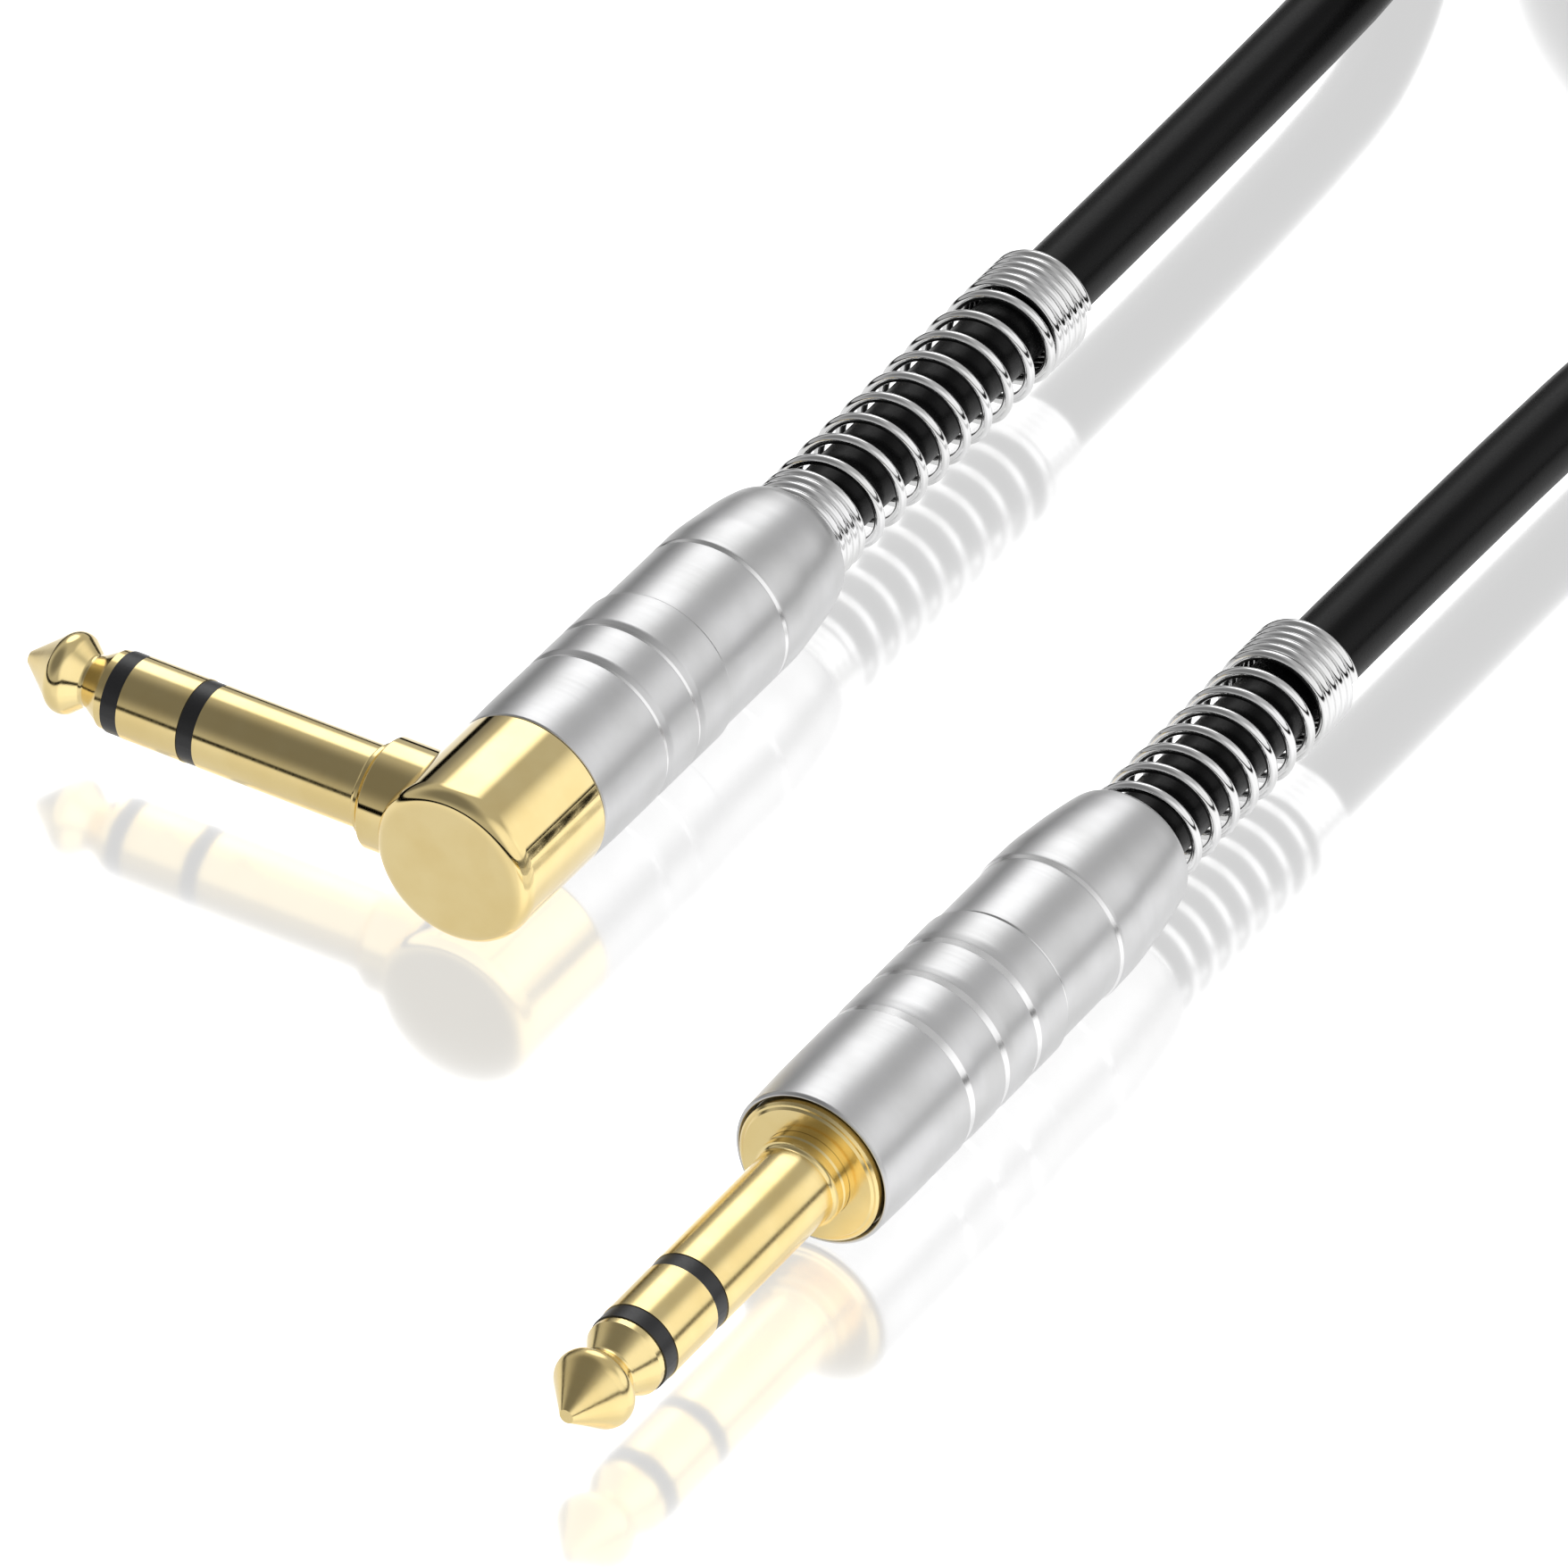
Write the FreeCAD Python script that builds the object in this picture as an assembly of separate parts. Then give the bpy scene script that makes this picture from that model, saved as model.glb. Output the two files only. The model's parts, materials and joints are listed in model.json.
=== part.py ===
"""Instrument cable: a screw-shell straight phone plug and a right-angle phone plug on one round cord.

Millimetres, +Z up.  Both plugs lie on z = 0 with their shells along +Y and their springs towards +Y.
The straight pin points to -Y, the right-angle pin points to -X.  The origin is under the middle of
the two plugs.  Each plug is a stack of contacts and insulators in a front body, a terminal stack
with its solder lugs and ground clamp, an insulating tube, a screw-on shell and a coil spring.
"""
import FreeCAD
import Part
import math
import os

V = FreeCAD.Vector
ALONG = V(0, 1, 0)

# ---- clearances ------------------------------------------------------------------------
PRESS_GAP = 0.02          # between pieces pressed into each other
STACK_GAP = 0.01          # between flat pieces clamped face to face
RUNNING_GAP = 0.22        # between the spring and the shell's rear hole
TRAP_GAP = 0.35           # around what is trapped inside the shell
THREAD_GAP = 0.15         # between the male thread and the shell's bore
MOUTH_GAP = 0.13          # the dark ring between front disc and shell mouth
SEAT_GAP = 0.05           # between the shell's front land and the body that it screws up against

# ---- cord ------------------------------------------------------------------------------
CORD_D = 6.0
CORD_R = CORD_D / 2
CORE_D = 1.3              # insulated core
CORE_PITCH = 1.9          # between the two cores where they leave the jacket
BRAID_D = 1.2             # shield twisted into a tail

# ---- pin, distances from its tip -------------------------------------------------------
PIN_D = 6.35
PIN_R = PIN_D / 2
NOSE_R = 0.55
BALL_R = 3.10
NECK_R = 2.00
SHOULDER_R = 3.02
BALL_AT = 3.6
NECK_AT = 5.5
SHOULDER_AT = 7.3
TIP_END = 7.9
RING_START = 9.3
RING_END = 14.4
SLEEVE_START = 15.8
COLLAR_START = 29.6
INSULATOR_INSET = 0.06    # insulating rings stand this far below the contacts
COLLAR_PROUD = 0.33
COLLAR_LINE = 0.12        # fine turned line round the collar
COLLAR_SEAT = 1.0         # depth of the collar's seat in the body
ROD_R = 0.80
TIP_TUBE_R = 1.30
RING_TUBE_R = 1.80
RING_SLEEVE_R = 2.35
SLEEVE_NECK = 0.18        # the sleeve is this much thinner inside its body
COLLAR_R = PIN_R + COLLAR_PROUD
NECK_IN_R = PIN_R - SLEEVE_NECK

# ---- terminal stack --------------------------------------------------------------------
LUG_T = 0.5
WASHER_T = 0.8
LUG_MARGIN = 0.25         # lug discs are smaller than the washers by this
RIVET_R = 1.45
RIVET_T = 0.6
LUG_W = 2.2
CLAMP_ARM_W = 2.6
WING_T = 0.5
WING_OPEN = 80.0          # degrees left open between the crimp wings
ARM_CLEAR = 0.12          # washers to the arms that pass them
SOLDER_WALL = 0.3         # solder round a wire
SOLDER_FILM = 0.12        # solder between a wire and its lug
SOLDER_CAP = 0.5          # solder past the wire's end
SOLDER_LEN = 0.8          # solder along the wire

# ---- spring ----------------------------------------------------------------------------
WIRE_D = 0.80
SPRING_CLEARANCE = 0.58   # cord to the inside of the spring
CLOSED_PITCH = 0.83
FLARE_GRIP = 0.40         # the flared front coil is this much wider than the rear hole
FLARE_RISE = 2.4          # height over which the flared end narrows
SPRING_CUT_ANGLE = 10.0   # where the wire's cut rear end stands, from +X towards +Z
SPRING_STEPS = 16         # points of its centre line per turn
PITCH_EASE = 0.7          # turns over which the pitch changes between closed and open

# ---- insulating tube, thread, shell ----------------------------------------------------
TUBE_WALL = 0.30
THREAD_PITCH = 1.0
THREAD_DEPTH = 0.35
THREAD_TURNS = 6
LIP_WALL = 0.40           # round the rear hole
MOUTH_RIM = 0.53          # between the shell's outside and its mouth

# ---- straight plug, distances from the tip of its pin ----------------------------------
DISC_FRONT = 31.05        # polished face of the front body
DISC_T = 1.75
STRAIGHT_SHELL_START = 31.65
STRAIGHT_SHELL_LEN = 42.5
STRAIGHT_WALL = 0.98
STRAIGHT_BODY_END = 40.0
STRAIGHT_LUG_LEN = 9.0
STRAIGHT_JACKET = 53.5
STRAIGHT_WING_START = 54.5
STRAIGHT_WING_LEN = 5.0
STRAIGHT_TUBE_START = 41.0
STRAIGHT_TUBE_SPACE = 3.55  # between the insulating tube and the spring's flare
STRAIGHT_LIP_LEN = 5.5    # of the shell's rear end, round the spring
STRAIGHT_OPEN_PITCH = 2.63
STRAIGHT_OPEN_END = 94.65
STRAIGHT_SPRING_END = 99.45

# ---- right-angle plug, distances along +Y from the joint of elbow and shell ------------
ELBOW_PIN_REACH = 38.93   # tip of the pin to the shell's axis
ELBOW_RIM = 1.13          # between the elbow's outside and the shell's bore
ELBOW_LEN = 10.7
ELBOW_EDGE = 1.45         # rounding of the closed end
ELBOW_WALL = 1.0
BOSS_R = 4.25
BOSS_FRONT = 30.35        # from the tip of the pin
ELBOW_PAD = 3.93          # flat pad inside, from the shell's axis
SPIGOT_WALL = 0.55        # under the thread of the elbow's spigot
ANGLE_SHELL_LEN = 34.5
ANGLE_WALL = 1.22
ANGLE_LIP_LEN = 5.5
ANGLE_LUG_END = 9.8
ANGLE_JACKET = 13.5
ANGLE_WING_START = 14.3
ANGLE_WING_LEN = 4.6
ANGLE_TUBE_START = 6.2
ANGLE_TUBE_SPACE = 5.4
ANGLE_OPEN_PITCH = 3.0
ANGLE_OPEN_START = 38.4
ANGLE_OPEN_END = 65.5
ANGLE_SPRING_END = 70.75

# ---- radii that follow from the cord outwards ------------------------------------------
SPRING_IN_R = CORD_R + SPRING_CLEARANCE
SPRING_OUT_R = SPRING_IN_R + WIRE_D
SPRING_MEAN_R = SPRING_IN_R + WIRE_D / 2
REAR_HOLE_R = SPRING_OUT_R + RUNNING_GAP
FLARE_OUT_R = REAR_HOLE_R + FLARE_GRIP
SPRING_FLARE_R = FLARE_OUT_R - WIRE_D / 2
BORE_R = FLARE_OUT_R + TRAP_GAP
TUBE_OUT_R = BORE_R - TRAP_GAP
TUBE_IN_R = TUBE_OUT_R - TUBE_WALL
THREAD_R = BORE_R - THREAD_GAP
SHELL_END_R = REAR_HOLE_R + LIP_WALL
STRAIGHT_R = BORE_R + STRAIGHT_WALL
ANGLE_R = BORE_R + ANGLE_WALL
MOUTH_R = STRAIGHT_R - MOUTH_RIM
DISC_R = MOUTH_R - MOUTH_GAP
WING_IN_R = CORD_R + PRESS_GAP
WING_OUT_R = WING_IN_R + WING_T
WASHER_R = WING_IN_R - ARM_CLEAR
LUG_R = WASHER_R - LUG_MARGIN
SPIGOT_LEN = THREAD_PITCH * THREAD_TURNS
SPIGOT_BORE_R = THREAD_R - THREAD_DEPTH - SPIGOT_WALL
ELBOW_R = BORE_R + ELBOW_RIM
STRAIGHT_BORE_LEN = STRAIGHT_SHELL_LEN - STRAIGHT_LIP_LEN
ANGLE_BORE_LEN = ANGLE_SHELL_LEN - ANGLE_LIP_LEN
FLARE_LEN = FLARE_RISE + WIRE_D / 2 + 0.3

# ---- where the plugs lie ---------------------------------------------------------------
STRAIGHT_TIP = V(36.0, -64.0, STRAIGHT_R)
ANGLE_AXIS_X = -3.4
ANGLE_PIN_Y = -12.1
ANGLE_JOINT = V(ANGLE_AXIS_X, ANGLE_PIN_Y + ELBOW_LEN / 2, ANGLE_R)
ANGLE_TIP = V(ANGLE_AXIS_X - ELBOW_PIN_REACH, ANGLE_PIN_Y, ANGLE_R)

# ---- the cord's route ------------------------------------------------------------------
# From each plug the cord runs straight, sinks to the surface and bends into the coil.
STRAIGHT_ROUTE = [
    V(STRAIGHT_TIP.x, STRAIGHT_TIP.y + STRAIGHT_JACKET, STRAIGHT_TIP.z),
    V(STRAIGHT_TIP.x, 78.0, STRAIGHT_TIP.z),
    V(38.6, 102.0, 4.3),
    V(47.0, 122.5, 3.1),
    V(57.0, 142.5, 3.4),
    V(61.2, 162.0, 4.2),
]
ANGLE_ROUTE = [
    V(ANGLE_JOINT.x, ANGLE_JOINT.y + ANGLE_JACKET, ANGLE_JOINT.z),
    V(ANGLE_JOINT.x, 104.0, ANGLE_JOINT.z),
    V(-7.0, 125.0, 4.6),
    V(-16.0, 142.0, 3.3),
    V(-25.5, 158.5, 3.5),
    V(-29.0, 179.0, 4.2),
]
ARC_SHARE = 0.45          # of the shorter run that an arc takes up

# ---- the coil and its tie --------------------------------------------------------------
TIE_T = 1.0
TIE_W = 16.0
TIE_CLEAR = 0.2
COIL_CENTRE = V(19.0, 181.0, TIE_T + TIE_CLEAR)
COIL_IN_R = 21.0
COIL_OUT_R = 51.0
COIL_TOP_R = 45.0
COIL_HEIGHT = 24.0
COIL_SHOULDER = 18.0
COIL_ROUND = 2.5


# ==== helpers ===========================================================================
def lathe(outline):
    """Turn an outline about the Y axis.  An item is (y, r), or (y_mid, r_mid, y, r) for an arc."""
    here = V(outline[0][1], outline[0][0], 0)
    first = here
    edges = []
    for item in outline[1:]:
        end = V(item[-1], item[-2], 0)
        if len(item) == 4:
            edges.append(Part.Arc(here, V(item[1], item[0], 0), end).toShape())
        else:
            edges.append(Part.LineSegment(here, end).toShape())
        here = end
    edges.append(Part.LineSegment(here, first).toShape())
    return Part.Face(Part.Wire(edges)).revolve(V(0, 0, 0), ALONG, 360)


def ring(start, end, outer, inner):
    """Plain tube about the Y axis."""
    return lathe([(start, inner), (start, outer), (end, outer), (end, inner)])


def block(low, high):
    """Box between two corners."""
    size = high - low
    return Part.makeBox(size.x, size.y, size.z, low)


def at(shape, place, turn=0.0):
    """Copy of a shape, turned about Z and moved from the local origin to its place."""
    moved = shape.copy()
    moved.rotate(V(0, 0, 0), V(0, 0, 1), turn)
    moved.translate(place)
    return moved


def save(name, *solids):
    """Write one node, made of one or more separate solids."""
    shape = solids[0] if len(solids) == 1 else Part.makeCompound(list(solids))
    shape.exportStep("parts/" + name + ".step")


def rounded_path(points):
    """Straight runs joined by tangent arcs, and the arcs' radii."""
    edges = []
    radii = []
    here = points[0]
    for before, corner, after in zip(points, points[1:], points[2:]):
        inward = (before - corner).normalize()
        outward = (after - corner).normalize()
        half_turn = (math.pi - inward.getAngle(outward)) / 2
        reach = ARC_SHARE * min((before - corner).Length, (after - corner).Length)
        radius = reach / math.tan(half_turn)
        start = corner + inward * reach
        end = corner + outward * reach
        towards = (inward + outward).normalize()
        middle = corner + towards * (radius / math.cos(half_turn) - radius)
        edges.append(Part.LineSegment(here, start).toShape())
        edges.append(Part.Arc(start, middle, end).toShape())
        radii.append(radius)
        here = end
    edges.append(Part.LineSegment(here, points[-1]).toShape())
    return Part.Wire(edges), radii


def rod_along(points, diameter):
    """Round rod along a rounded path."""
    path, radii = rounded_path(points)
    heading = (points[1] - points[0]).normalize()
    section = Part.Wire(Part.makeCircle(diameter / 2, points[0], heading))
    solid = path.makePipeShell([section], True, True)
    return solid, path.Length, radii


def slot_ring(start, end, outer, inner, open_angle):
    """Tube about the Y axis, open at the top by the given angle."""
    whole = ring(start, end, outer, inner)
    reach = 2 * outer
    half = math.radians(open_angle / 2)
    corner_x = reach * math.sin(half)
    corner_z = reach * math.cos(half)
    outline = [V(0, start, 0), V(corner_x, start, corner_z), V(-corner_x, start, corner_z), V(0, start, 0)]
    wedge = Part.Face(Part.makePolygon(outline)).extrude(V(0, end - start, 0))
    return whole.cut(wedge)


# ==== pin ===============================================================================
def tip_contact(stack):
    """Ball tip with its rod, riveted over the terminal stack that starts at the given distance."""
    head_at = stack + 3 * LUG_T + 2 * WASHER_T + 5 * STACK_GAP
    return lathe([
        (0, 0), (0, NOSE_R), (BALL_AT - 0.75, BALL_R - 0.22),
        (BALL_AT, BALL_R + 0.03, BALL_AT + 0.75, BALL_R - 0.30),
        (NECK_AT - 0.25, NECK_R + 0.05),
        (NECK_AT, NECK_R - 0.02, NECK_AT + 0.25, NECK_R + 0.08),
        (SHOULDER_AT, SHOULDER_R), (TIP_END, SHOULDER_R), (TIP_END, ROD_R),
        (head_at, ROD_R), (head_at, RIVET_R), (head_at + RIVET_T / 2, RIVET_R),
        (head_at + RIVET_T, RIVET_R / 2), (head_at + RIVET_T, 0)])


def stepped_tube(front, shoulder, rear, head_r, tube_r, bore_r):
    """Ring-shaped head with a thin tube behind it, bored through."""
    return lathe([(front, bore_r), (front, head_r), (shoulder, head_r), (shoulder, tube_r),
                  (rear, tube_r), (rear, bore_r)])


def pin_pieces(stack, face):
    """The five pieces of a pin, from its body's front face and the start of its terminal stack."""
    ring_lug_back = stack + 2 * LUG_T + WASHER_T + 3 * STACK_GAP
    second_washer_back = ring_lug_back + WASHER_T + STACK_GAP
    insulator_r = PIN_R - INSULATOR_INSET
    collar_end = face + COLLAR_SEAT - STACK_GAP
    line_at = (COLLAR_START + face) / 2
    sleeve_bore = RING_SLEEVE_R + PRESS_GAP
    flare = COLLAR_PROUD * math.sqrt(0.5)
    sleeve = lathe([
        (SLEEVE_START, sleeve_bore), (SLEEVE_START, PIN_R), (COLLAR_START - COLLAR_PROUD, PIN_R),
        (COLLAR_START - COLLAR_PROUD + flare, COLLAR_R - flare, COLLAR_START, COLLAR_R),
        (line_at - COLLAR_LINE, COLLAR_R), (line_at, COLLAR_R - COLLAR_LINE),
        (line_at + COLLAR_LINE, COLLAR_R),
        (collar_end, COLLAR_R), (collar_end, NECK_IN_R),
        (stack - STACK_GAP, NECK_IN_R), (stack - STACK_GAP, sleeve_bore)])
    return {
        "tip_contact": tip_contact(stack),
        "tip_insulator": stepped_tube(TIP_END + STACK_GAP, RING_START - STACK_GAP, second_washer_back,
                                      insulator_r, TIP_TUBE_R, ROD_R + PRESS_GAP),
        "ring_contact": stepped_tube(RING_START, RING_END, ring_lug_back, PIN_R,
                                     RING_TUBE_R, TIP_TUBE_R + PRESS_GAP),
        "ring_insulator": stepped_tube(RING_END + STACK_GAP, SLEEVE_START - STACK_GAP,
                                       stack + LUG_T, insulator_r, RING_SLEEVE_R, RING_TUBE_R + PRESS_GAP),
        "sleeve_contact": sleeve,
    }


def stack_places(stack):
    """Front faces of the five flat pieces behind the body, in order."""
    places = []
    here = stack
    for thickness in (LUG_T, WASHER_T, LUG_T, WASHER_T, LUG_T):
        places.append(here)
        here += thickness + STACK_GAP
    return places


def washers(stack):
    """The two insulating washers between clamp, ring lug and tip lug."""
    places = stack_places(stack)
    return [ring(places[1], places[1] + WASHER_T, WASHER_R, RING_TUBE_R + PRESS_GAP),
            ring(places[3], places[3] + WASHER_T, WASHER_R, TIP_TUBE_R + PRESS_GAP)]


# ==== terminals =========================================================================
def folded_lug(front, disc_r, hole_r, side, width, end, inner_r):
    """Lug of the straight plug: a disc with one arm folded back along the axis, on +X or -X."""
    disc = ring(front, front + LUG_T, disc_r, hole_r)
    tab = block(V(disc_r - 0.4, front, -width / 2), V(inner_r + LUG_T, front + LUG_T, width / 2))
    arm = block(V(inner_r, front, -width / 2), V(inner_r + LUG_T, end, width / 2))
    eye = Part.makeCylinder(width / 5, 3 * LUG_T, V(inner_r - LUG_T, end - width / 2, 0), V(1, 0, 0))
    tab = tab.cut(Part.makeCylinder(hole_r, LUG_T, V(0, front, 0), ALONG))
    lug = disc.fuse([tab, arm]).removeSplitter().cut(eye)
    return lug if side > 0 else lug.mirror(V(0, 0, 0), V(1, 0, 0))


def straight_clamp(stack):
    """Ground clamp of the straight plug: plate, arm under the cores, and wings crimped on the jacket."""
    plate = ring(stack, stack + LUG_T, LUG_R, RING_SLEEVE_R + PRESS_GAP)
    half = CLAMP_ARM_W / 2
    tab = block(V(-half, stack, -WING_OUT_R), V(half, stack + LUG_T, -LUG_R + 0.4))
    tab = tab.cut(Part.makeCylinder(RING_SLEEVE_R + PRESS_GAP, LUG_T, V(0, stack, 0), ALONG))
    arm = block(V(-half, stack, -WING_OUT_R), V(half, STRAIGHT_WING_START + 0.5, -WING_OUT_R + WING_T))
    arm = arm.cut(Part.makeCylinder(WING_IN_R, 3.0, V(0, STRAIGHT_WING_START, 0), ALONG))
    wings = slot_ring(STRAIGHT_WING_START, STRAIGHT_WING_START + STRAIGHT_WING_LEN,
                      WING_OUT_R, WING_IN_R, WING_OPEN)
    return plate.fuse([tab, arm, wings]).removeSplitter()


def flat_lug(offset, disc_r, hole_r, low_z, high_z, end):
    """Lug of the right-angle plug: a disc facing the pin with a straight arm along +Y."""
    disc = Part.makeCylinder(disc_r, LUG_T, V(offset, 0, 0), V(1, 0, 0))
    arm = block(V(offset, 0, low_z), V(offset + LUG_T, end, high_z))
    hole = Part.makeCylinder(hole_r, LUG_T, V(offset, 0, 0), V(1, 0, 0))
    eye_r = (high_z - low_z) / 5
    eye = Part.makeCylinder(eye_r, LUG_T, V(offset, end - 2.5 * eye_r, (low_z + high_z) / 2), V(1, 0, 0))
    return disc.fuse(arm).removeSplitter().cut(hole).cut(eye)


def angle_clamp(offset, pin_to_joint):
    """Ground clamp of the right-angle plug: plate, arm with a step, and wings crimped on the jacket."""
    half = CLAMP_ARM_W / 2
    wing_start = pin_to_joint + ANGLE_WING_START
    plate = Part.makeCylinder(LUG_R, LUG_T, V(offset, 0, 0), V(1, 0, 0))
    arm = block(V(offset, 0, -half), V(offset + LUG_T, wing_start + 0.6, half))
    hole = Part.makeCylinder(RING_SLEEVE_R + PRESS_GAP, LUG_T, V(offset, 0, 0), V(1, 0, 0))
    wings = slot_ring(wing_start, wing_start + ANGLE_WING_LEN, WING_OUT_R, WING_IN_R, WING_OPEN)
    root = block(V(min(offset, -WING_OUT_R), wing_start, -half),
                 V(-WING_IN_R + WING_T / 2, wing_start + 0.6, half))
    root = root.cut(Part.makeCylinder(WING_IN_R, 2.0, V(0, wing_start - 0.5, 0), ALONG))
    arm = arm.cut(Part.makeCylinder(WING_IN_R, 2.0, V(0, wing_start, 0), ALONG))
    return plate.fuse([arm, root, wings]).removeSplitter().cut(hole)


def solder_drop(wire_end, diameter, lug_side):
    """Frozen drop round a wire's end, flat where it lies on its lug."""
    inner = diameter / 2 + STACK_GAP
    outer = diameter / 2 + SOLDER_WALL
    drop = lathe([(-SOLDER_CAP, 0), (-SOLDER_CAP, outer / 2), (0, outer), (SOLDER_CAP, outer),
                  (SOLDER_LEN, inner + STACK_GAP), (SOLDER_LEN, inner), (-STACK_GAP, inner), (-STACK_GAP, 0)])
    face = diameter / 2 + SOLDER_FILM - STACK_GAP
    beyond = block(V(face, -outer, -outer), V(2 * outer, 2 * SOLDER_LEN, outer))
    beyond.rotate(V(0, 0, 0), ALONG, math.degrees(math.atan2(-lug_side.z, lug_side.x)))
    return at(drop.cut(beyond), wire_end)


def wire(points, diameter):
    """Core or shield tail along a rounded path."""
    return rod_along(points, diameter)[0]


# ==== spring ============================================================================
def ramp(value):
    """0 before the start of a ramp, 1 after its end."""
    return min(max(value, 0.0), 1.0)


def spring(open_start, open_end, end, flare_start, open_pitch):
    """Strain-relief spring, wound from its rear end: closed, open and closed coils, then the flare."""
    rear_turns = (end - open_end) / CLOSED_PITCH
    open_turns = (open_end - open_start) / open_pitch
    front_turns = (open_start - flare_start) / CLOSED_PITCH
    flare_turns = FLARE_RISE / CLOSED_PITCH
    turns = rear_turns + open_turns + front_turns
    steps = round(turns * SPRING_STEPS)
    along = end
    points = []
    for step in range(steps + 1):
        turn = turns * step / steps
        angle = math.radians(SPRING_CUT_ANGLE) + 2 * math.pi * turn
        radius = SPRING_MEAN_R + (SPRING_FLARE_R - SPRING_MEAN_R) * ramp(1 - (turns - turn) / flare_turns)
        points.append(V(radius * math.cos(angle), along, radius * math.sin(angle)))
        middle = turn + turns / steps / 2
        into_open = ramp((middle - rear_turns) / PITCH_EASE + 0.5)
        out_of_open = ramp((rear_turns + open_turns - middle) / PITCH_EASE + 0.5)
        pitch = CLOSED_PITCH + (open_pitch - CLOSED_PITCH) * min(into_open, out_of_open)
        along -= pitch * turns / steps
    curve = Part.BSplineCurve()
    curve.interpolate(points)
    heading = curve.tangent(curve.FirstParameter)[0]
    section = Part.Wire(Part.makeCircle(WIRE_D / 2, points[0], heading))
    return Part.Wire(curve.toShape()).makePipeShell([section], True, True)


# ==== shells and bodies =================================================================
def thread_outline(start, turns, crest):
    """Ridges of a male thread from a start place towards +Y."""
    points = []
    for turn in range(turns):
        low = start + turn * THREAD_PITCH
        points.append((low + THREAD_PITCH * 0.10, crest - THREAD_DEPTH))
        points.append((low + THREAD_PITCH * 0.25, crest - THREAD_DEPTH))
        points.append((low + THREAD_PITCH * 0.55, crest))
        points.append((low + THREAD_PITCH * 0.75, crest))
    return points


def straight_body():
    """Front body of the straight plug: polished disc, male thread and bore for the sleeve."""
    bore = NECK_IN_R + PRESS_GAP
    seat_r = COLLAR_R + PRESS_GAP
    seat_back = DISC_FRONT + COLLAR_SEAT
    disc_back = DISC_FRONT + DISC_T
    step = 0.16
    outline = [
        (DISC_FRONT, seat_r), (DISC_FRONT, DISC_R - 3 * step), (DISC_FRONT + step, DISC_R - 2 * step),
        (DISC_FRONT + step, DISC_R - step), (DISC_FRONT + 2 * step, DISC_R), (disc_back, DISC_R),
        (disc_back, THREAD_R - THREAD_DEPTH)]
    outline += thread_outline(disc_back, THREAD_TURNS, THREAD_R)
    outline += [
        (disc_back + SPIGOT_LEN, THREAD_R - THREAD_DEPTH), (STRAIGHT_BODY_END, THREAD_R - THREAD_DEPTH),
        (STRAIGHT_BODY_END, bore), (seat_back, bore), (seat_back, seat_r)]
    return lathe(outline)


def groove(start, end, surface, depth):
    """Shallow turned groove, as outline points: a short drop and a long slope back out."""
    return [(start, surface), (start + depth, surface - depth), (end, surface)]


def straight_shell():
    """Screw-on shell of the straight plug, from its mouth at 0 to its rear end."""
    seat = DISC_FRONT + DISC_T + SEAT_GAP - STRAIGHT_SHELL_START
    end = STRAIGHT_SHELL_LEN
    out = STRAIGHT_R
    waist = out - 0.23
    rear = out - 0.06
    line = 0.10
    outline = [(0.25, MOUTH_R), (0.0, MOUTH_R + 0.2), (0.0, out - 0.32), (0.22, out - 0.10), (4.0, out)]
    for front, back in ((10.8, 12.6), (15.5, 16.7), (19.8, 21.0)):
        outline += groove(front, back, out, 0.24)
    outline += [(24.0, out), (24.1, out - line), (24.3, waist),
                (end - 11.2, waist), (end - 10.6, rear), (end - 7.6, rear - 0.04),
                (end - 3.6, out - 0.53, end - 1.2, SHELL_END_R + 0.42),
                (end - 0.3, SHELL_END_R + 0.22, end, SHELL_END_R - 0.15),
                (end, REAR_HOLE_R), (STRAIGHT_BORE_LEN, REAR_HOLE_R), (STRAIGHT_BORE_LEN, BORE_R),
                (seat, BORE_R), (seat, MOUTH_R)]
    return lathe(outline)


def angle_shell():
    """Screw-on shell of the right-angle plug, from the elbow joint at 0 to its rear end."""
    end = ANGLE_SHELL_LEN
    out = ANGLE_R
    waist = out - 0.22
    outline = [(0.0, BORE_R), (0.0, ELBOW_R - 0.12), (0.12, ELBOW_R), (2.8, out)]
    outline += groove(8.0, 8.7, out, 0.3)
    outline += groove(12.3, 13.0, out, 0.3)
    outline += [(16.8, out), (16.9, out - 0.12), (17.1, waist)]
    outline += groove(end - 10.1, end - 9.7, waist, 0.2)
    outline += [(end - 7.0, waist),
                (end - 2.5, waist - 0.55, end - 0.8, SHELL_END_R + 0.45),
                (end - 0.15, SHELL_END_R + 0.2, end, SHELL_END_R - 0.15),
                (end, REAR_HOLE_R), (ANGLE_BORE_LEN, REAR_HOLE_R), (ANGLE_BORE_LEN, BORE_R)]
    return lathe(outline)


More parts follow.
